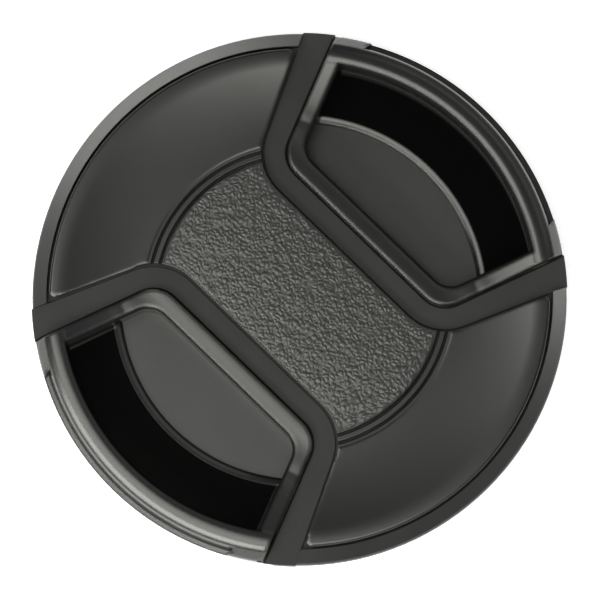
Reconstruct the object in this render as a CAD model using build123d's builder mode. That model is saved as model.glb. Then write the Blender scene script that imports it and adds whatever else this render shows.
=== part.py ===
from build123d import *
import os
from math import cos, radians, sin, sqrt, tan

# Driving dimensions, in millimetres and degrees
# X is the way the tabs slide, Z points out of the front face, z = 0 is the rear rim

# Fit in the lens
rim_radius = 30.4  # outline of the cap
rim_overhang = 1.4  # rim past the filter thread, which is then 58 mm across
thread_pitch = 0.75
pilot_gap = 0.8  # skirt inside the thread's major radius
lead_in = 0.4
flange_z = 4.4  # seat on the front edge of the lens

# Shell of the body
wall = 1.2
skirt_wall = 1.1
rim_width = 1.65
rim_top_z = 7.6
rim_fall = 1.3  # slope of the rim towards its outer edge
dish_lift = 1.6  # inner floor above the outer floor
step_radius = 20.5  # edge of the inner floor

# Sunken rails between the cover and the tabs
rail_x = 7.28  # upright edge on the cover side
rail_corner_y = 14.05
rail_angle = 24.8
rail_round = 6.0
rail_width = 2.6  # between the cover side and the tab side
rail_corner_inset = 1.45  # corner on the tab side nearer the middle
hood_angle = 20.6  # upright side towards the tab
hood_round = 3.4
rail_overhang = 0.1  # rail ends past the rim
rail_top_z = 6.3
hood_thick = 0.8
ledge = 0.8  # seat under the cover's edge

# Pinch tabs
stroke = 1.6  # travel of a tab when it is pinched
tab_lap = 0.2  # how far a tab reaches under the hood at rest
slide_gap = 0.15
side_gap = 0.2  # beside an arm of a tab at the end of its travel
hood_gap = 0.1
lip_gap = 0.12  # seam between a rail and the lip of a tab
arm_width = 1.9
finger_wall = 2.5
finger_rise = 0.9  # top of the finger wall above the rail
finger_round = 0.35  # broken edge of the finger wall and arms towards the well
well_round = 2.6
slope_start = 5.0  # where the arms start to climb, along the arm from the rail's corner
arm_rise = 0.9  # climb of the arms up to the bead
bead_inset = 1.6  # crest of the tab's outer wall, inside the outline
bead_width = 1.7  # from the crest to the well
bead_flat = 0.6  # flat top of the bead beside the well
bead_lip = 0.7  # bead past the crest line, over the nail recess
bead_drop = 0.9  # how far the bead rolls off outwards
bead_draft = 0.3
recess_lift = 0.55  # floor of the nail recess above the flange
recess_angle = 28.0
recess_flare = 5.5
claw_angle = 26.0
claw_reach = 0.1  # claw tips inside the thread's major radius
ridge_height = 0.45
ridge_foot = 0.28
tongue_y = 5.6
tongue_width = 3.0
tongue_thick = 1.0
hook_depth = 1.1
hook_gap = 0.1
hook_drop = 0.4  # hook's tip below the cover's seat
step_gap = 0.4  # tab's foot to the floor's step at the end of its travel
plate_lap = 0.1  # tab's floor plate over the body's inner floor at rest
plate_thick = 0.85
plate_round = 0.7

# Front cover
cover_gap = 0.25
cover_corner = 0.9
cover_sink = 0.4  # centre of the cover below the rim
cover_thick = 1.2
border_drop = 0.1  # outer edge of the cover below the rim
border_width = 1.5
border_roll = 0.6  # last part of the border, which rolls off
border_bulge = 0.05  # border above a straight slope, where the roll starts
ridge_rise = 0.25  # ridge between a side panel and its border, above the rim
ring_radius = 17.2  # outer groove of the ring round the grained centre
ring_width = 0.9
groove_width = 0.28
groove_depth = 0.3
pin_side = 2.0  # square pins under the cover
pin_inset = 4.6  # pins inside the skirt
pin_gap = 0.05
pin_length = 3.4
pin_room = 0.3

# Coil springs
spring_radius = 1.0
spring_gap = 0.25
spring_turns = 5
wire_radius = 0.18
post_half = 0.8  # half thickness of the post between the springs
peg_side = 1.0  # square pegs inside the coils
peg_length = 1.4
runs_per_turn = 8  # the wire lies in short straight runs to keep its facets few

# Edges and joins
edge_break = 0.2
root = 0.5  # how far joined forms run into each other

# Radii and heights that follow
thread_radius = rim_radius - rim_overhang
pilot_radius = thread_radius - pilot_gap
skirt_inner_radius = pilot_radius - skirt_wall
rim_inner_radius = rim_radius - rim_width
rim_edge_z = rim_top_z - rim_fall
outer_floor_z = wall
inner_floor_z = wall + dish_lift
cover_radius = rim_inner_radius - cover_gap
cover_top_z = rim_top_z - cover_sink
seat_z = cover_top_z - cover_thick
cover_edge_z = rim_top_z - border_drop
panel_radius = cover_radius - border_width
panel_edge_z = rim_top_z + ridge_rise
border_roll_z = (panel_edge_z + cover_edge_z) / 2 + border_bulge
ring_inner_radius = ring_radius - ring_width
ring_flank = sqrt(groove_width**2 + 4 * groove_depth**2)
pin_y = skirt_inner_radius - pin_inset
rail_end_radius = rim_radius + rail_overhang
hood_z = rail_top_z - hood_thick
tab_top_z = rail_top_z + finger_rise
bead_top_z = tab_top_z + arm_rise
tab_foot_z = inner_floor_z + slide_gap
claw_foot_z = outer_floor_z + slide_gap
claw_tip_radius = thread_radius - claw_reach
recess_z = flange_z + recess_lift
spring_z = (inner_floor_z + hood_z) / 2

# Plan of the rails, tabs and wells that follows
hood_lean = radians(hood_angle)
hood_x = rail_x + rail_width
hood_corner_y = rail_corner_y - rail_corner_inset
tab_x = hood_x - tab_lap
channel_x = tab_x - stroke - slide_gap
lip_x = hood_x + lip_gap
groove_x = hood_x + stroke + slide_gap
groove_side = stroke * sin(hood_lean) + slide_gap
arm_hood = tab_lap + stroke * sin(hood_lean) + side_gap
finger_wall_x = tab_x + finger_wall
step_clear_radius = step_radius + stroke + step_gap
bead_crest_radius = rim_radius - bead_inset
bead_radius = bead_crest_radius - bead_width
bead_out_radius = bead_crest_radius + bead_lip
bead_shoulder_radius = bead_radius + bead_flat
plate_radius = step_radius - plate_lap
plate_top_z = tab_foot_z + plate_thick
plate_facet = plate_round * (1 - cos(radians(45)))

# The arms climb until their well side meets the bead
arm_start = Vector(hood_x + arm_width * sin(hood_lean), hood_corner_y - arm_width * cos(hood_lean))
arm_along = arm_start.dot(Vector(cos(hood_lean), sin(hood_lean)))
slope_run = sqrt(bead_radius**2 - arm_start.length**2 + arm_along**2) - arm_along - slope_start


def hood_corner(x, outset):
    return hood_corner_y + (x - hood_x) * tan(hood_lean) + outset / cos(hood_lean)


def rail_corner(inset):
    lean = radians(rail_angle)
    return rail_corner_y - inset * tan(lean) + inset / cos(lean)


def sector(x, corner_y, angle, corner_round):
    far_x = x + 2 * rim_radius * cos(radians(angle))
    far_y = corner_y + 2 * rim_radius * sin(radians(angle))
    with BuildSketch() as opening:
        with BuildLine():
            Polyline((x, -corner_y), (x, corner_y), (far_x, far_y), (far_x, -far_y), close=True)
        make_face()
        fillet(opening.vertices().group_by(Axis.X)[0], corner_round)
    return opening.sketch


def polar(radius, angle):
    return (radius * cos(radians(angle)), radius * sin(radians(angle)))


def lies_on(outline, edge):
    point = edge @ 0.5
    return outline.wire().distance_to((point.X, point.Y, 0)) < 0.01


def nearest(sketch, point):
    return sketch.vertices().sort_by_distance(point)[0]


# Plan outlines that the pieces share, each open towards +X
rail_outline = sector(rail_x, rail_corner_y, rail_angle, rail_round)
ledge_outline = sector(rail_x - ledge, rail_corner(ledge), rail_angle, rail_round)
cover_cut = sector(rail_x - cover_gap, rail_corner(cover_gap), rail_angle, rail_round)
hood_outline = sector(hood_x, hood_corner_y, hood_angle, hood_round)
channel_outline = sector(channel_x, hood_corner(channel_x, arm_hood), hood_angle, hood_round)
tab_outline = sector(tab_x, hood_corner(tab_x, tab_lap), hood_angle, hood_round + tab_lap)
lip_outline = sector(lip_x, hood_corner(lip_x, -lip_gap), hood_angle, hood_round - lip_gap)
groove_outline = sector(groove_x, hood_corner(groove_x, -groove_side), hood_angle, hood_round - slide_gap)
well_outline = sector(finger_wall_x, hood_corner(finger_wall_x, -arm_width), hood_angle, well_round)

# Rail round one well
with BuildPart() as rail_hood:
    with BuildSketch(Plane.XY.offset(hood_z)):
        add(rail_outline)
        add(hood_outline, mode=Mode.SUBTRACT)
        Circle(rail_end_radius, mode=Mode.INTERSECT)
    extrude(amount=hood_thick)
    rail_top = rail_hood.faces().sort_by(Axis.Z)[-1]
    chamfer(rail_top.edges().filter_by(lambda edge: lies_on(hood_outline, edge)), edge_break)

# Body: rear wall, skirt and rim turned as one shell
with BuildPart() as cap_body:
    with BuildSketch(Plane.XZ) as shell_section:
        with BuildLine():
            Polyline(
                (0, 0),
                (pilot_radius - lead_in, 0),
                (pilot_radius, lead_in),
                (pilot_radius, flange_z),
                (rim_radius, flange_z),
                (rim_radius, rim_edge_z),
                (rim_inner_radius, rim_top_z),
                (rim_inner_radius, seat_z),
                (skirt_inner_radius, seat_z),
                (skirt_inner_radius, outer_floor_z),
                (step_radius, outer_floor_z),
                (step_radius, inner_floor_z),
                (0, inner_floor_z),
                close=True,
            )
        make_face()
        chamfer(nearest(shell_section, (rim_radius, rim_edge_z)), edge_break)
    revolve(axis=Axis.Z)
    # Openings in the skirt and rim that the tabs come out of
    with BuildSketch(Plane.XY.offset(outer_floor_z)):
        with PolarLocations(0, 2):
            add(channel_outline)
        Circle(skirt_inner_radius - edge_break, mode=Mode.SUBTRACT)
    extrude(amount=rim_top_z, mode=Mode.SUBTRACT)
    # Gaps in the rim where the rails run out
    with BuildSketch(Plane.XY.offset(rail_top_z)):
        with PolarLocations(0, 2):
            add(rail_outline)
    extrude(amount=rim_top_z, mode=Mode.SUBTRACT)
    # Walls under the rails, with a ledge for the cover
    with BuildSketch(Plane.XY.offset(outer_floor_z - wall / 2)):
        with PolarLocations(0, 2):
            add(ledge_outline)
        with PolarLocations(0, 2):
            add(channel_outline, mode=Mode.SUBTRACT)
        Circle(pilot_radius - skirt_wall / 2, mode=Mode.INTERSECT)
    extrude(amount=seat_z - outer_floor_z + wall / 2)
    with BuildSketch(Plane.XY.offset(flange_z)):
        with PolarLocations(0, 2):
            add(rail_outline)
        with PolarLocations(0, 2):
            add(channel_outline, mode=Mode.SUBTRACT)
        Circle(rail_end_radius, mode=Mode.INTERSECT)
    extrude(amount=hood_z - flange_z)
    with PolarLocations(0, 2):
        add(rail_hood.part)
    # Slots for the tongues and the springs through the partitions
    partition_x = (rail_x - ledge + channel_x) / 2
    on_floor = (Align.CENTER, Align.CENTER, Align.MIN)
    with Locations((0, 0, inner_floor_z)):
        with GridLocations(2 * partition_x, 2 * tongue_y, 2, 2):
            tongue_slot = (2 * wall, tongue_width + 2 * slide_gap, tongue_thick + 2 * slide_gap)
            Box(*tongue_slot, align=on_floor, mode=Mode.SUBTRACT)
        with Locations((partition_x, 0), (-partition_x, 0)):
            spring_slot = (2 * wall, 2 * (spring_radius + wire_radius + spring_gap), hood_z - inner_floor_z)
            Box(*spring_slot, align=on_floor, mode=Mode.SUBTRACT)
    # Post between the springs, with a peg inside each
    with Locations((0, 0, inner_floor_z - wall / 2)):
        post_height = seat_z - inner_floor_z + wall / 2 - slide_gap
        Box(2 * post_half, 4 * spring_radius, post_height, align=on_floor)
    with Locations((0, 0, spring_z)):
        Box(2 * (post_half + peg_length), peg_side, peg_side)
    # Bosses that take the cover's pins
    with BuildSketch(Plane.XY.offset(outer_floor_z - wall / 2)):
        with Locations((0, pin_y), (0, -pin_y)):
            Rectangle(pin_side + 2 * wall, pin_side + 2 * wall)
    extrude(amount=seat_z - outer_floor_z + wall / 2)
    with BuildSketch(Plane.XY.offset(seat_z)):
        with Locations((0, pin_y), (0, -pin_y)):
            Rectangle(pin_side + 2 * pin_gap, pin_side + 2 * pin_gap)
    extrude(amount=-pin_length - pin_room, mode=Mode.SUBTRACT)
    # Dish in the rear face that clears a bulging front element
    dish_radius = step_radius - wall
    with BuildSketch():
        Circle(dish_radius)
    extrude(amount=dish_lift, mode=Mode.SUBTRACT)

# Front cover: side panels that climb outwards to a ridge, and a border that rolls off to the rim
panel_start = ring_radius + groove_width
panel_curve = []
for share in (1 / 3, 2 / 3, 1):
    curve_radius = panel_start + share * (panel_radius - panel_start)
    panel_curve.append((curve_radius, cover_top_z + share**2 * (panel_edge_z - cover_top_z)))
with BuildPart() as front_cover:
    with BuildSketch(Plane.XZ):
        with BuildLine():
            dish_start = (panel_start, cover_top_z)
            border_mid = (cover_radius - border_roll, border_roll_z)
            border_edge = (cover_radius, cover_edge_z)
            Polyline(border_edge, (cover_radius, seat_z), (0, seat_z), (0, cover_top_z), dish_start)
            Polyline(dish_start, *panel_curve, border_mid, border_edge)
        make_face()
    revolve(axis=Axis.Z)
    with BuildSketch() as cover_plan:
        Circle(cover_radius)
        with PolarLocations(0, 2):
            add(cover_cut, mode=Mode.SUBTRACT)
        fillet(cover_plan.vertices().group_by(SortBy.DISTANCE)[-1], cover_corner)
    extrude(amount=2 * rim_top_z, mode=Mode.INTERSECT)
    # Ring of two grooves round the grained centre
    with BuildSketch(Plane.XZ):
        with Locations((ring_radius, cover_top_z), (ring_inner_radius, cover_top_z)):
            Triangle(a=2 * groove_width, b=ring_flank, c=ring_flank, rotation=180)
    revolve(axis=Axis.Z, mode=Mode.SUBTRACT)
    with BuildSketch(Plane.XY.offset(seat_z)):
        with Locations((0, pin_y), (0, -pin_y)):
            Rectangle(pin_side, pin_side)
    extrude(amount=-pin_length)

# Room above the top of a tab: level over the finger wall, then climbing along each arm
with BuildPart() as tab_roof:
    run_on = 4 / 3
    roof_end = slope_start + run_on * slope_run
    beside_arm = Plane(
        (hood_x - wall * sin(hood_lean), hood_corner_y + wall * cos(hood_lean), tab_top_z),
        x_dir=(cos(hood_lean), sin(hood_lean), 0),
        z_dir=(sin(hood_lean), -cos(hood_lean), 0),
    )
    with BuildSketch(beside_arm):
        with BuildLine():
            Polyline(
                (-hood_corner_y, 0),
                (slope_start, 0),
                (roof_end, run_on * arm_rise),
                (roof_end, 2 * arm_rise),
                (-hood_corner_y, 2 * arm_rise),
                close=True,
            )
        make_face()
    extrude(amount=hood_corner_y + 2 * wall)
    mirror(about=Plane.XZ)

# Section of the bead, which rolls off outwards in three facets
bead_facets = []
for facet_angle in (30, 60, 90):
    facet_run = (bead_out_radius - bead_shoulder_radius) * sin(radians(facet_angle))
    facet_drop = bead_drop * (1 - cos(radians(facet_angle)))
    bead_facets.append((bead_shoulder_radius + facet_run, bead_top_z - facet_drop))
roll_start = Vector(*bead_facets[1]) * 0.9 + Vector(rim_radius, rim_edge_z) * 0.1

# Nail recess between the bead and the rim ends of a tab
recess_end = recess_angle + recess_flare
recess_out_radius = rim_radius + root
with BuildPart() as nail_recess:
    with BuildSketch(Plane.XZ):
        with BuildLine():
            Polyline(
                (bead_out_radius + bead_draft, recess_z),
                bead_facets[2],
                (roll_start.X, roll_start.Y),
                (roll_start.X, 1.5 * rim_top_z),
                (recess_out_radius + root, 1.5 * rim_top_z),
                (recess_out_radius + root, recess_z),
                close=True,
            )
        make_face()
    revolve(axis=Axis.Z)
    with BuildSketch():
        with BuildLine():
            inner_side = CenterArc((0, 0), bead_crest_radius, -recess_end, 2 * recess_end)
            outer_side = CenterArc((0, 0), recess_out_radius, -recess_angle, 2 * recess_angle)
            Spline(
                inner_side @ 1,
                outer_side @ 1,
                tangents=(polar(1, recess_angle - 84.5), polar(1, recess_angle - 20)),
            )
            Spline(
                outer_side @ 0,
                inner_side @ 0,
                tangents=(polar(1, 200 - recess_angle), polar(1, 264.5 - recess_angle)),
            )
        make_face()
    extrude(amount=2 * rim_top_z, mode=Mode.INTERSECT)

# Outer wall of a tab: bead and rim ends
with BuildPart() as tab_wall:
    with BuildSketch(Plane.XZ) as wall_section:
        with BuildLine():
            Polyline(
                (bead_radius, claw_foot_z),
                (pilot_radius, claw_foot_z),
                (pilot_radius, flange_z),
                (rim_radius, flange_z),
                (rim_radius, rim_edge_z),
                bead_facets[1],
                bead_facets[0],
                (bead_shoulder_radius, bead_top_z),
                (bead_radius, bead_top_z),
                close=True,
            )
        make_face()
        chamfer(nearest(wall_section, (rim_radius, rim_edge_z)), edge_break)
    revolve(axis=Axis.Z)
    with BuildSketch():
        add(tab_outline)
    extrude(amount=2 * rim_top_z, mode=Mode.INTERSECT)
    add(nail_recess.part, mode=Mode.SUBTRACT)

# Floor plate of a tab, with a rounded edge that lies over the body's inner floor
with BuildPart() as tab_plate:
    with BuildSketch(Plane.XZ):
        with BuildLine():
            Polyline(
                (plate_radius, tab_foot_z),
                (plate_radius, plate_top_z - plate_round),
                (plate_radius + plate_facet, plate_top_z - plate_facet),
                (plate_radius + plate_round, plate_top_z),
                (bead_radius + root, plate_top_z),
                (bead_radius + root, tab_foot_z),
                close=True,
            )
        make_face()
    revolve(axis=Axis.Z)
    with BuildSketch():
        add(tab_outline)
    extrude(amount=2 * rim_top_z, mode=Mode.INTERSECT)

# Claw with ridges that grip the filter thread
claw_root_radius = claw_tip_radius - ridge_height
claw_back_radius = pilot_radius - skirt_wall / 2
claw_start = Plane(
    (0, 0, 0),
    x_dir=(*polar(1, -claw_angle), 0),
    z_dir=(*polar(1, -claw_angle - 90), 0),
)
ridge_points = []
for ridge in range(3):
    ridge_z = claw_foot_z + thread_pitch * (ridge + 0.85)
    ridge_points.append((claw_root_radius, ridge_z - ridge_foot))
    ridge_points.append((claw_tip_radius, ridge_z))
    ridge_points.append((claw_root_radius, ridge_z + ridge_foot))
with BuildPart() as tab_claw:
    with BuildSketch(claw_start):
        with BuildLine():
            Polyline(
                (claw_back_radius, claw_foot_z),
                (claw_root_radius, claw_foot_z),
                *ridge_points,
                (claw_root_radius, flange_z + edge_break),
                (claw_back_radius, flange_z + edge_break),
                close=True,
            )
        make_face()
    revolve(axis=Axis.Z, revolution_arc=2 * claw_angle)

# Pinch tab: finger wall and arms round the well, joined to the outer wall
with BuildPart() as pinch_tab_right:
    with BuildSketch(Plane.XY.offset(tab_foot_z)):
        add(tab_outline)
        add(well_outline, mode=Mode.SUBTRACT)
        Circle(bead_radius + bead_flat / 2, mode=Mode.INTERSECT)
    extrude(amount=bead_top_z - tab_foot_z)
    add(tab_roof.part, mode=Mode.SUBTRACT)
    frame_tops = pinch_tab_right.faces().filter_by(lambda face: face.normal_at().Z > 0.9)
    well_edges = frame_tops.edges().filter_by(lambda edge: lies_on(well_outline, edge))
    chamfer(well_edges, finger_round)
    with BuildSketch(Plane.XY.offset(claw_foot_z)):
        add(tab_outline)
        add(well_outline, mode=Mode.SUBTRACT)
        Circle(bead_crest_radius - bead_width / 2, mode=Mode.INTERSECT)
        Circle(step_clear_radius, mode=Mode.SUBTRACT)
    extrude(amount=tab_foot_z - claw_foot_z)
    add(tab_wall.part)
    add(tab_claw.part)
    add(tab_plate.part)
    # Groove that the rail enters as the tab is pinched, under a lip that slides over the rail
    with BuildSketch(Plane.XY.offset(hood_z - hood_gap)):
        add(channel_outline)
        add(groove_outline, mode=Mode.SUBTRACT)
    extrude(amount=hood_thick + 2 * hood_gap, mode=Mode.SUBTRACT)
    with BuildSketch(Plane.XY.offset(rail_top_z + hood_gap)):
        add(channel_outline)
        add(lip_outline, mode=Mode.SUBTRACT)
    extrude(amount=rim_top_z, mode=Mode.SUBTRACT)
    # Snap tongues that run under the partition and hold the tab in
    hook_x = rail_x - ledge - hook_gap
    hook_top_z = seat_z - hook_drop
    tongue_z = tab_foot_z + tongue_thick
    for side in (-1, 1):
        with BuildSketch(Plane.XZ.offset(-side * tongue_y)):
            with BuildLine():
                Polyline(
                    (tab_x + root, tab_foot_z),
                    (tab_x + root, tongue_z),
                    (hook_x, tongue_z),
                    (hook_x, hook_top_z),
                    (hook_x - hook_depth / 2, hook_top_z),
                    (hook_x - hook_depth, tongue_z),
                    (hook_x - hook_depth, tab_foot_z),
                    close=True,
                )
            make_face()
        extrude(amount=tongue_width / 2, both=True)
    with BuildSketch(Plane.YZ.offset(tab_x + root)):
        with Locations((0, spring_z)):
            Rectangle(peg_side, peg_side)
    extrude(amount=-peg_length - root)

with BuildPart() as pinch_tab_left:
    with Locations(Location((0, 0, 0), (0, 0, 180))):
        add(pinch_tab_right.part)

# Coil springs between the post and the tabs
spring_length = tab_x - post_half - 2 * wire_radius
coil_points = []
for run in range(spring_turns * runs_per_turn + 1):
    coil_turn = run / runs_per_turn
    coil_y, coil_z = polar(spring_radius, 360 * coil_turn)
    coil_x = post_half + wire_radius + spring_length * coil_turn / spring_turns
    coil_points.append((coil_x, coil_y, spring_z + coil_z))
with BuildPart() as tab_spring_right:
    with BuildLine() as coil:
        Polyline(*coil_points)
    with BuildSketch(Plane(coil.line @ 0, z_dir=coil.line % 0)):
        RegularPolygon(wire_radius, 4)
    sweep(path=coil.line, transition=Transition.RIGHT)

with BuildPart() as tab_spring_left:
    with Locations(Location((0, 0, 0), (0, 0, 180))):
        add(tab_spring_right.part)

# Export
os.makedirs("parts", exist_ok=True)
cap_body.part.label = "cap_body"
export_step(cap_body.part, "parts/cap_body.step")
front_cover.part.label = "front_cover"
export_step(front_cover.part, "parts/front_cover.step")
pinch_tab_right.part.label = "pinch_tab_right"
export_step(pinch_tab_right.part, "parts/pinch_tab_right.step")
pinch_tab_left.part.label = "pinch_tab_left"
export_step(pinch_tab_left.part, "parts/pinch_tab_left.step")
tab_spring_right.part.label = "tab_spring_right"
export_step(tab_spring_right.part, "parts/tab_spring_right.step")
tab_spring_left.part.label = "tab_spring_left"
export_step(tab_spring_left.part, "parts/tab_spring_left.step")
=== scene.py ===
import bpy
import bmesh
import math
from mathutils import Matrix, Vector, noise


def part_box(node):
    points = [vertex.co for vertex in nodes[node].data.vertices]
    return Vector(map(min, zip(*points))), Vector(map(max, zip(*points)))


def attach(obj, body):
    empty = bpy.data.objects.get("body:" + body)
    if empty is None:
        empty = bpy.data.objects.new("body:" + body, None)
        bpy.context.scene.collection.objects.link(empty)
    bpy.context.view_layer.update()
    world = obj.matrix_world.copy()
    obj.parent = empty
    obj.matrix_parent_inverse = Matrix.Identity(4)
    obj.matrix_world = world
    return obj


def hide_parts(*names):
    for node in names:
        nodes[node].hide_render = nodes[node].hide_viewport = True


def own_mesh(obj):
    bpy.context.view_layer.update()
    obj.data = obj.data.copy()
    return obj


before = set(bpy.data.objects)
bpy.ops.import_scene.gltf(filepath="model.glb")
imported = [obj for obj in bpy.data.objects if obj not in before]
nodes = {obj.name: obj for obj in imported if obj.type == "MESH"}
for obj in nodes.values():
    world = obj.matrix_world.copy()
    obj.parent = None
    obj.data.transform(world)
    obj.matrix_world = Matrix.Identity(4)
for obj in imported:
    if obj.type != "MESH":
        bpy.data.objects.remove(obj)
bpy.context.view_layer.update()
mm = 0.001
print("frame loaded:", len(nodes), "nodes")


# node helpers, all in object space so the finish stays put when a tab slides
noiseBand = (0.3, 0.7)  # stretch of a noise that holds most of its values
lampWarmthTint = (0.985, 1, 0.92, 1)  # the lamps' faint warm cast, painted into the shine of the black plastic


def startMaterial(name):
    mat = bpy.data.materials.new(name)
    mat.use_nodes = True
    tree = mat.node_tree
    tree.nodes.clear()
    out = tree.nodes.new("ShaderNodeOutputMaterial")
    shader = tree.nodes.new("ShaderNodeBsdfPrincipled")
    tree.links.new(shader.outputs["BSDF"], out.inputs["Surface"])
    return mat, tree, shader


def objectCoords(tree):
    return tree.nodes.new("ShaderNodeTexCoord").outputs["Object"]


def splitAxes(tree, coords):
    split = tree.nodes.new("ShaderNodeSeparateXYZ")
    tree.links.new(coords, split.inputs[0])
    return split.outputs


def noiseFac(tree, coords, size, detail, rough=0.5):
    tex = tree.nodes.new("ShaderNodeTexNoise")
    tex.inputs["Scale"].default_value = 1 / size
    tex.inputs["Detail"].default_value = detail
    tex.inputs["Roughness"].default_value = rough
    tree.links.new(coords, tex.inputs["Vector"])
    return tex.outputs["Fac"]


def ramp(tree, value, low, high, start=noiseBand[0], end=noiseBand[1]):
    node = tree.nodes.new("ShaderNodeMapRange")
    node.inputs["From Min"].default_value = start
    node.inputs["From Max"].default_value = end
    node.inputs["To Min"].default_value = low
    node.inputs["To Max"].default_value = high
    tree.links.new(value, node.inputs["Value"])
    return node.outputs["Result"]


def colourRamp(tree, value, stops, colours):
    node = tree.nodes.new("ShaderNodeValToRGB")
    for element, stop, colour in zip(node.color_ramp.elements, stops, colours):
        element.position = stop
        element.color = (*colour, 1)
    tree.links.new(value, node.inputs["Fac"])
    return node.outputs["Color"]


def math2(tree, operation, a, b=0):
    node = tree.nodes.new("ShaderNodeMath")
    node.operation = operation
    for socket, value in zip(node.inputs, (a, b)):
        if isinstance(value, (int, float)):
            socket.default_value = value
        else:
            tree.links.new(value, socket)
    return node.outputs[0]


def blendIn(tree, mask, socket, value):
    node = tree.nodes.new("ShaderNodeMix")
    node.data_type = "RGBA" if socket.type == "RGBA" else "FLOAT"
    slots = [s for s in node.inputs if s.enabled and s.name in ("A", "B")]
    tree.links.new(mask, node.inputs["Factor"])
    if socket.is_linked:
        tree.links.new(socket.links[0].from_socket, slots[0])
    else:
        slots[0].default_value = socket.default_value
    slots[1].default_value = value
    tree.links.new([s for s in node.outputs if s.enabled][0], socket)


def mouldedPlastic(name, look):
    mat, tree, shader = startMaterial(name)
    coords = objectCoords(tree)
    cloud = noiseFac(tree, coords, look["cloudSize"], detail=3)
    tooth = noiseFac(tree, coords, look["toothSize"], detail=2, rough=0.6)
    colour = colourRamp(tree, cloud, noiseBand, (look["dark"], look["light"]))
    tree.links.new(colour, shader.inputs["Base Color"])
    tree.links.new(ramp(tree, tooth, *look["roughness"]), shader.inputs["Roughness"])
    shader.inputs["Specular IOR Level"].default_value = look["specular"]
    # painted light: the lamps' warm cast tints the plastic's shine
    shader.inputs["Specular Tint"].default_value = lampWarmthTint
    soft = tree.nodes.new("ShaderNodeBevel")  # moulded edges are never knife sharp
    soft.samples = 6
    soft.inputs["Radius"].default_value = look["edgeRadius"]
    bump = tree.nodes.new("ShaderNodeBump")
    bump.inputs["Strength"].default_value = look["toothStrength"]
    bump.inputs["Distance"].default_value = look["toothDepth"]
    tree.links.new(tooth, bump.inputs["Height"])
    tree.links.new(soft.outputs["Normal"], bump.inputs["Normal"])
    tree.links.new(bump.outputs["Normal"], shader.inputs["Normal"])
    return mat, tree, shader, coords


# body: fine eroded black on the rails and rim, satin on the floor of the wells
bodyLook = {
    "dark": (0.016, 0.016, 0.016), "light": (0.022, 0.022, 0.022),
    "cloudSize": 6 * mm, "toothSize": 0.16 * mm, "toothStrength": 0.4, "toothDepth": 0.02 * mm,
    "roughness": (0.42, 0.54), "specular": 0.42, "edgeRadius": 0.14 * mm,
    "satinBelow": 3 * mm, "satinRoughness": 0.3, "satinSpecular": 0.84,
}
bodyMat, tree, shader, coords = mouldedPlastic("erodedBlack", bodyLook)
onFloor = math2(tree, "LESS_THAN", splitAxes(tree, coords)["Z"], bodyLook["satinBelow"])
blendIn(tree, onFloor, shader.inputs["Roughness"], bodyLook["satinRoughness"])
blendIn(tree, onFloor, shader.inputs["Specular IOR Level"], bodyLook["satinSpecular"])

# cover panels: the smoothest face, a silky satin
coverLook = {
    "dark": (0.011, 0.011, 0.0116), "light": (0.015, 0.015, 0.0156),
    "cloudSize": 8 * mm, "toothSize": 0.12 * mm, "toothStrength": 0.12, "toothDepth": 0.01 * mm,
    "roughness": (0.22, 0.26), "specular": 1.0, "edgeRadius": 0.14 * mm,
}
coverMat = mouldedPlastic("satinPanel", coverLook)[0]

# tabs: satin as well, high-gloss black on the floor plate of the well, whose colour is darkened further as painted
# shade
tabLook = {
    "dark": (0.011, 0.011, 0.0116), "light": (0.015, 0.015, 0.0156),
    "cloudSize": 5 * mm, "toothSize": 0.14 * mm, "toothStrength": 0.15, "toothDepth": 0.012 * mm,
    "roughness": (0.22, 0.27), "specular": 1.0, "edgeRadius": 0.6 * mm,
    "polishInside": 21.4 * mm, "polishHeight": 3.8 * mm, "polishDepth": 0.04 * mm,
    "polishRoughness": 0.07, "polishSpecular": 0.16, "plateShadeColour": (0.002, 0.002, 0.002),
    "lipInside": 20.2 * mm, "lipDepth": 0.7 * mm, "lipRoughness": 0.12,
    "pillowSpan": (9 * mm, 26 * mm), "pillowHeight": 0.6 * mm, "pillowFoot": (4 * mm, 6.3 * mm),
    "pillowCurve": (
        (0, 1), (0.053, 1), (0.194, 0.85), (0.306, 0.84), (0.5, 0.6), (0.647, 0.56), (0.824, 0.68), (1, 0.7),
    ),
    "beadSpan": (26.9 * mm, 28.7 * mm), "beadHeight": 0.24 * mm,
}
tabMat, tree, shader, coords = mouldedPlastic("satinTab", tabLook)
axes = splitAxes(tree, coords)
acrossX = math2(tree, "MULTIPLY", axes["X"], axes["X"])
acrossY = math2(tree, "MULTIPLY", axes["Y"], axes["Y"])
reach = math2(tree, "SQRT", math2(tree, "ADD", acrossX, acrossY))  # distance from the cap's axis

# floor plate of the well and its rolled inner lip; the plate's mask also darkens its colour as painted shade
offPlate = math2(tree, "ABSOLUTE", math2(tree, "SUBTRACT", axes["Z"], tabLook["polishHeight"]))
onPlate = math2(tree, "GREATER_THAN", reach, tabLook["polishInside"])
polishedAndShaded = math2(tree, "MULTIPLY", onPlate, math2(tree, "LESS_THAN", offPlate, tabLook["polishDepth"]))
lip = math2(tree, "MULTIPLY", math2(tree, "GREATER_THAN", reach, tabLook["lipInside"]),
            math2(tree, "LESS_THAN", offPlate, tabLook["lipDepth"]))
lip = math2(tree, "MULTIPLY", lip, math2(tree, "LESS_THAN", reach, tabLook["polishInside"]))
blendIn(tree, lip, shader.inputs["Roughness"], tabLook["lipRoughness"])
blendIn(tree, polishedAndShaded, shader.inputs["Roughness"], tabLook["polishRoughness"])
blendIn(tree, polishedAndShaded, shader.inputs["Specular IOR Level"], tabLook["polishSpecular"])
# painted shade: the floor plate's colour is set far darker than the tab's plastic, so that it reads jet black
blendIn(tree, polishedAndShaded, shader.inputs["Base Color"], (*tabLook["plateShadeColour"], 1))

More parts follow.
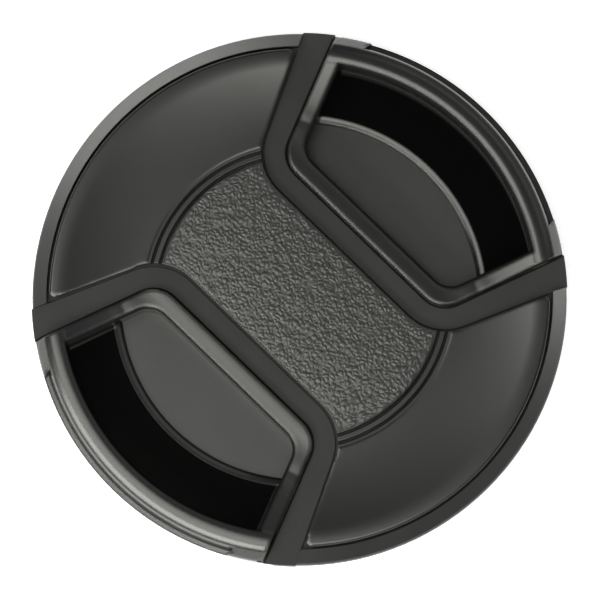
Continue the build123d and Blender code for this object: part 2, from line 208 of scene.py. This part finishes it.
# soft rise and fall along the tops of the finger wall and arms, and a bead that rounds down to the well
pillow = tree.nodes.new("ShaderNodeFloatCurve")
outward = ramp(tree, math2(tree, "ABSOLUTE", axes["X"]), 0, 1, *tabLook["pillowSpan"])
tree.links.new(outward, pillow.inputs["Value"])
curve = pillow.mapping.curves[0]
for point in tabLook["pillowCurve"][1:-1]:
    curve.points.new(*point)
curve.points[0].location = tabLook["pillowCurve"][0]
curve.points[-1].location = tabLook["pillowCurve"][-1]
pillow.mapping.update()
onTop = ramp(tree, axes["Z"], 0, tabLook["pillowHeight"], *tabLook["pillowFoot"])
rise = math2(tree, "MULTIPLY", pillow.outputs["Value"], onTop)
beadFoot = ramp(tree, reach, 1, 0, *tabLook["beadSpan"])
beadFall = math2(tree, "MULTIPLY", math2(tree, "MULTIPLY", beadFoot, beadFoot), tabLook["beadHeight"])
swell = tree.nodes.new("ShaderNodeBump")
swell.inputs["Strength"].default_value = 1
swell.inputs["Distance"].default_value = 1  # the height comes in metres
tree.links.new(math2(tree, "SUBTRACT", rise, beadFall), swell.inputs["Height"])
tree.links.new(shader.inputs["Normal"].links[0].from_socket, swell.inputs["Normal"])
tree.links.new(swell.outputs["Normal"], shader.inputs["Normal"])

# spring wire: drawn steel with faint streaks
wireLook = {
    "dark": (0.42, 0.41, 0.39), "light": (0.6, 0.59, 0.57),
    "streakSize": 0.25 * mm, "roughness": (0.22, 0.4),
}
wireMat, tree, shader = startMaterial("drawnSteel")
streak = noiseFac(tree, objectCoords(tree), wireLook["streakSize"], detail=3)
colour = colourRamp(tree, streak, noiseBand, (wireLook["dark"], wireLook["light"]))
tree.links.new(colour, shader.inputs["Base Color"])
tree.links.new(ramp(tree, streak, *wireLook["roughness"]), shader.inputs["Roughness"])
shader.inputs["Metallic"].default_value = 1

finishes = {
    "cap_body": bodyMat, "front_cover": coverMat, "pinch_tab_right": tabMat, "pinch_tab_left": tabMat,
    "tab_spring_right": wireMat, "tab_spring_left": wireMat,
}
for name, mat in finishes.items():
    nodes[name].data.materials.clear()
    nodes[name].data.materials.append(mat)
print("finishes on", len(finishes), "nodes")


# mesh helpers
def joinRows(bm, rows):
    for low, high in zip(rows, rows[1:]):
        for a, b, c, d in zip(low, low[1:], high[1:], high):
            bm.faces.new((a, b, c, d)).smooth = True


def finishMesh(bm, name):
    mesh = bpy.data.meshes.new(name)
    bm.to_mesh(mesh)
    bm.free()
    return mesh


# grained centre of the cover, a thin embossed skin with real relief
grain = {
    "halfWidth": 7.0 * mm, "radius": 16.1 * mm, "arcCentre": (13.03 * mm, 10.37 * mm), "arcRadius": 6.03 * mm,
    "rows": 380, "columns": 166, "endShare": 0.9995, "edgeFall": 0.1 * mm, "edgeWidth": 0.35 * mm,
    "top": 7.2 * mm, "crown": 0.2 * mm, "sink": 0.03 * mm,
    "cell": 0.5 * mm, "height": 0.14 * mm, "seed": 7.3, "warpScale": 0.7, "warp": 0.35, "warpShift": (31.7, 12.9, 5.3),
    "crease": 0.45, "pebble": 0.55, "base": 0.25,
    "swells": ((0.45, 0.35), (2.3, 0.22)),  # scale and share of a slow and a quick wave
}


def grainHalfWidth(y):
    x = grain["halfWidth"]
    rise = abs(y) - grain["arcCentre"][1]
    if rise > 0:  # the rail bends away near the ends
        x = grain["arcCentre"][0] - math.sqrt(max(grain["arcRadius"] ** 2 - rise ** 2, 0))
    return min(x, math.sqrt(max(grain["radius"] ** 2 - y ** 2, 0)))


def grainHeight(x, y):
    spot = Vector((x, y, 0)) / grain["cell"] + Vector((grain["seed"], 0, 0))
    flow = spot * grain["warpScale"]
    warp = Vector((noise.noise(flow), noise.noise(flow + Vector(grain["warpShift"])), 0)) * grain["warp"]
    near = noise.voronoi(spot + warp)[0]
    pebble = min(max((near[1] - near[0]) / grain["crease"], 0), 1)
    pebble = pebble * pebble * (3 - 2 * pebble)
    swell = sum(noise.noise(spot * scale) * share for scale, share in grain["swells"])
    return grain["height"] * (grain["pebble"] * pebble + grain["base"] + swell)


def buildGrain():
    bm = bmesh.new()
    rows = []
    for i in range(grain["rows"] + 1):
        y = grain["radius"] * (2 * i / grain["rows"] - 1) * grain["endShare"]
        half = grainHalfWidth(y)
        row = []
        for j in range(grain["columns"] + 1):
            x = half * (2 * j / grain["columns"] - 1)
            inset = min(half - abs(x), grain["radius"] - math.hypot(x, y))
            fall = max(1 - inset / grain["edgeWidth"], 0) ** 2
            top = grain["top"] - grain["sink"] + grain["crown"] * (1 - (x / grain["halfWidth"]) ** 2)
            z = top + grainHeight(x, y) * (1 - fall) - grain["edgeFall"] * fall
            row.append(bm.verts.new((x, y, z)))
        rows.append(row)
    joinRows(bm, rows)
    return bpy.data.objects.new("grainSkin", finishMesh(bm, "grainSkin"))


grainLook = {
    "dark": (0.024, 0.024, 0.022), "light": (0.044, 0.044, 0.042),
    "cloudSize": 0.5 * mm, "toothSize": 0.07 * mm, "toothStrength": 0.35, "toothDepth": 0.012 * mm,
    "roughness": (0.34, 0.46), "specular": 0.84, "edgeRadius": 0.03 * mm,
}
grainSkin = buildGrain()
bpy.context.scene.collection.objects.link(grainSkin)
grainSkin.data.materials.append(mouldedPlastic("grainBlack", grainLook)[0])
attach(grainSkin, "cap")
print("grain skin:", len(grainSkin.data.polygons), "faces")


# dished side panels, drawn smooth over the cover and rolled off at its edges
panel = {
    "inner": 17.6 * mm, "outer": 28.47 * mm, "top": 7.2 * mm, "climb": 0.65 * mm, "lift": 0.04 * mm,
    "curveStart": 17.48 * mm, "curveEnd": 27.0 * mm, "easeStart": 26.4 * mm, "easeEnd": 27.8 * mm,
    "coverRadius": 28.5 * mm, "corner": 0.9 * mm, "roll": 0.4 * mm, "tuck": 0.03 * mm, "margin": 0.02 * mm,
    "rows": 110, "columns": 200, "rowEase": 0.6, "columnEase": 0.5, "halvings": 30,
    "edgeX": 7.03 * mm, "edgeY": 14.15 * mm, "edgeAngle": 24.8,
    "facetCount": 3, "border": ((27.9 * mm, 7.725 * mm), (28.5 * mm, 7.5 * mm)),
}
panelRun = panel["curveEnd"] - panel["curveStart"]
facetShares = [k / panel["facetCount"] for k in range(panel["facetCount"] + 1)]
facets = [(panel["curveStart"] + panelRun * s, panel["top"] + panel["climb"] * s ** 2) for s in facetShares]
facets.extend(panel["border"])


def panelInset(x, y):
    lean = math.radians(panel["edgeAngle"])
    aside = Vector((abs(x), abs(y))) - Vector(grain["arcCentre"])
    turn = math.degrees(math.atan2(aside.y, aside.x))
    if 90 + panel["edgeAngle"] < turn < 180:  # round the corner of the rail
        side = aside.length - grain["arcRadius"]
    else:
        across = (abs(y) - panel["edgeY"]) * math.cos(lean) - (abs(x) - panel["edgeX"]) * math.sin(lean)
        side = max(across, panel["edgeX"] - abs(x))
    rim, corner = panel["coverRadius"] - math.hypot(x, y), panel["corner"]
    if max(side, rim) < corner:  # rounded outer corners of the cover
        return corner - math.hypot(corner - side, corner - rim)
    return min(side, rim)


def panelSpread(radius):
    near, far = 0.0, math.pi / 2
    for halving in range(panel["halvings"]):  # widest angle from the middle that is still on the cover
        middle = (near + far) / 2
        if panelInset(radius * math.sin(middle), radius * math.cos(middle)) > panel["margin"]:
            near = middle
        else:
            far = middle
    return near


def facetHeight(radius):
    for (r0, z0), (r1, z1) in zip(facets, facets[1:]):
        if radius <= r1:
            break
    return z0 + (z1 - z0) * (radius - r0) / (r1 - r0)


def panelHeight(radius):
    bend = min(radius, panel["easeStart"])
    share = (bend - panel["curveStart"]) / panelRun
    z = panel["top"] + panel["lift"] + panel["climb"] * share ** 2
    slope = 2 * panel["climb"] * share / panelRun
    past = min(radius, panel["easeEnd"]) - bend  # the climb eases off to a level border
    return z + slope * (past - past ** 2 / 2 / (panel["easeEnd"] - panel["easeStart"]))


def crowd(share, ease):  # packs the steps closer towards the edge
    rest = 1 - share
    return 1 - ease * rest ** 2 - (1 - ease) * rest


def buildPanels():
    bm = bmesh.new()
    for side in (1, -1):
        rows = []
        for i in range(panel["rows"] + 1):
            share = crowd(i / panel["rows"], panel["rowEase"])
            radius = panel["inner"] + (panel["outer"] - panel["inner"]) * share
            spread = panelSpread(radius)
            row = []
            for j in reversed(range(panel["columns"] + 1)):
                way = 2 * j / panel["columns"] - 1
                angle = spread * math.copysign(crowd(abs(way), panel["columnEase"]), way)
                x, y = radius * math.sin(angle), radius * math.cos(angle)
                inset = min(panelInset(x, y), radius - panel["inner"])
                turn = min(max(1 - inset / panel["roll"], 0), 1)
                smooth = panelHeight(radius)
                drop = (smooth - facetHeight(radius) + panel["tuck"]) * (1 - math.sqrt(1 - turn ** 2))
                row.append(bm.verts.new((side * x, side * y, smooth - drop)))
            rows.append(row)
        joinRows(bm, rows)
    bmesh.ops.recalc_face_normals(bm, faces=bm.faces)
    return bpy.data.objects.new("panelSkin", finishMesh(bm, "panelSkin"))


panelSkin = buildPanels()
bpy.context.scene.collection.objects.link(panelSkin)
panelSkin.data.materials.append(coverMat)
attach(panelSkin, "cap")
print("panel skin:", len(panelSkin.data.polygons), "faces")


# coil springs in round wire
spring = {
    "turns": 5, "wireRadius": 0.18 * mm, "radius": 1.0 * mm, "post": 0.8 * mm,
    "steps": 28, "sides": 10, "travel": 1.6 * mm,
}


def buildSpring(side):
    low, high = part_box("tab_spring_right")
    start = spring["post"] + spring["wireRadius"]
    length = high.x - spring["wireRadius"] - start
    axisHeight = Vector((0, 0, (low.z + high.z) / 2))
    along = Vector((1, 0, 0))
    bm = bmesh.new()
    rings = []
    count = spring["turns"] * spring["steps"]
    for i in range(count + 1):
        turn = 2 * math.pi * i / spring["steps"]
        out = Vector((0, math.cos(turn), math.sin(turn)))
        middle = axisHeight + along * (start + length * i / count) + out * spring["radius"]
        ring = []
        for k in range(spring["sides"]):
            angle = 2 * math.pi * k / spring["sides"]
            point = middle + spring["wireRadius"] * (out * math.cos(angle) + along * math.sin(angle))
            ring.append(bm.verts.new((side * point.x, side * point.y, point.z)))
        rings.append(ring)
    for a, b in zip(rings, rings[1:]):
        for k in range(spring["sides"]):
            bm.faces.new((a[k - 1], a[k], b[k], b[k - 1])).smooth = True
    bm.faces.new(rings[0])
    bm.faces.new(rings[-1])
    bmesh.ops.recalc_face_normals(bm, faces=bm.faces)
    return finishMesh(bm, "springWire"), length + 2 * spring["wireRadius"]


for sideName, side in (("right", 1), ("left", -1)):
    mesh, length = buildSpring(side)
    coil = bpy.data.objects.new(sideName + "Spring", mesh)
    bpy.context.scene.collection.objects.link(coil)
    mesh.materials.append(wireMat)
    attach(coil, "cap")
    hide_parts("tab_spring_" + sideName)
    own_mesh(coil)
print("springs coiled")


# table and backdrop in one white sheet that still takes the cap's shadow
sheet = {"size": 3.0, "glow": 0.8, "colour": (0.8, 0.8, 0.8)}
bpy.ops.mesh.primitive_plane_add(size=sheet["size"], location=(0, 0, 0))
table = bpy.context.object
table.name = "whiteTable"
tableMat, tree, shader = startMaterial("whiteTable")
tree.nodes.remove(shader)
paper = tree.nodes.new("ShaderNodeBsdfDiffuse")
paper.inputs["Color"].default_value = (*sheet["colour"], 1)
glow = tree.nodes.new("ShaderNodeEmission")
glow.inputs["Color"].default_value = (1, 1, 1, 1)
rays = tree.nodes.new("ShaderNodeLightPath")
seen = math2(tree, "MAXIMUM", rays.outputs["Is Camera Ray"],
             math2(tree, "MAXIMUM", rays.outputs["Is Glossy Ray"], rays.outputs["Is Transmission Ray"]))
tree.links.new(math2(tree, "MULTIPLY", seen, sheet["glow"]), glow.inputs["Strength"])
both = tree.nodes.new("ShaderNodeAddShader")
tree.links.new(paper.outputs[0], both.inputs[0])
tree.links.new(glow.outputs[0], both.inputs[1])
tree.links.new(both.outputs[0], tree.nodes["Material Output"].inputs["Surface"])
table.data.materials.append(tableMat)

# camera settings, and the picture's right and up in part axes
shot = {
    "roll": 45.8, "tilt": 6.2, "distance": 0.75, "fieldWidth": 68.34 * mm, "sensorWidth": 36,
    "aimRight": 0.05 * mm, "aimUp": -0.12 * mm, "aimHeight": 5.35 * mm,
}
roll = math.radians(shot["roll"])
photoRight = Vector((math.cos(roll), -math.sin(roll), 0))
photoUp = Vector((math.sin(roll), math.cos(roll), 0))


def softbox(name, side, up, elevation, distance, size, power):
    flat = (photoRight * side + photoUp * up).normalized()
    lift = math.radians(elevation)
    lamp = bpy.data.lights.new(name, "AREA")
    lamp.shape = "RECTANGLE"
    lamp.size, lamp.size_y = size
    lamp.energy = power
    place = bpy.data.objects.new(name, lamp)
    place.location = (flat * math.cos(lift) + Vector((0, 0, math.sin(lift)))) * distance
    place.rotation_euler = (-place.location).to_track_quat("-Z", "Y").to_euler()
    bpy.context.scene.collection.objects.link(place)
    return place


lamps = {
    "keyBox": {
        "side": -0.64, "up": -0.77, "elevation": 43, "distance": 0.55, "size": (0.58, 0.16), "power": 2.35,
    },
    "topBox": {
        "side": -0.64, "up": -0.77, "elevation": 75, "distance": 0.6, "size": (0.58, 0.3), "power": 1.63,
    },
    "sideBox": {
        "side": 0.7, "up": 0.72, "elevation": 45, "distance": 0.6, "size": (0.5, 0.3), "power": 0.22,
    },
    "backStrip": {
        "side": -0.6, "up": 0.86, "elevation": 6, "distance": 0.6, "size": (0.6, 0.1), "power": 4.5,
    },
    "rightStrip": {
        "side": 1, "up": 0.2, "elevation": 6, "distance": 0.6, "size": (0.16, 0.1), "power": 2.4,
    },
}
bodyOnly = bpy.data.collections.new("bodyOnly")  # the low strips draw the rim and leave the flat faces alone
bodyOnly.objects.link(nodes["cap_body"])
for name, lamp in lamps.items():
    place = softbox(name, **lamp)
    if name.endswith("Strip"):
        place.light_linking.receiver_collection = bodyOnly

# room: dim, a little lighter round the horizon than overhead
room = {"horizon": (0.1, 0.1, 0.1), "overhead": (0.07, 0.07, 0.07), "stops": (0.35, 0.85), "strength": 1.0}
world = bpy.data.worlds.new("studioRoom")
bpy.context.scene.world = world
world.use_nodes = True
tree = world.node_tree
tree.nodes.clear()
worldOut = tree.nodes.new("ShaderNodeOutputWorld")
back = tree.nodes.new("ShaderNodeBackground")
height = splitAxes(tree, tree.nodes.new("ShaderNodeTexCoord").outputs["Generated"])["Z"]
sky = colourRamp(tree, height, room["stops"], (room["horizon"], room["overhead"]))
tree.links.new(sky, back.inputs["Color"])
back.inputs["Strength"].default_value = room["strength"]
tree.links.new(back.outputs[0], worldOut.inputs["Surface"])
print("stage and lights set")

# camera: long lens nearly overhead, tipped towards the foot of the picture
tilt = math.radians(shot["tilt"])
camData = bpy.data.cameras.new("photoCamera")
camData.sensor_width = shot["sensorWidth"]
camData.lens = shot["sensorWidth"] * shot["distance"] / shot["fieldWidth"]
camData.dof.use_dof = False
camera = bpy.data.objects.new("photoCamera", camData)
aim = photoRight * shot["aimRight"] + photoUp * shot["aimUp"] + Vector((0, 0, shot["aimHeight"]))
backward = Vector((0, 0, math.cos(tilt))) - photoUp * math.sin(tilt)
upward = photoUp * math.cos(tilt) + Vector((0, 0, math.sin(tilt)))
camera.location = aim + backward * shot["distance"]
basis = [photoRight, upward, backward]
camera.rotation_euler = Matrix([[axis[i] for axis in basis] for i in range(3)]).to_euler()
bpy.context.scene.collection.objects.link(camera)
bpy.context.scene.camera = camera
bpy.context.scene.view_settings.view_transform = "Standard"
print("camera placed")
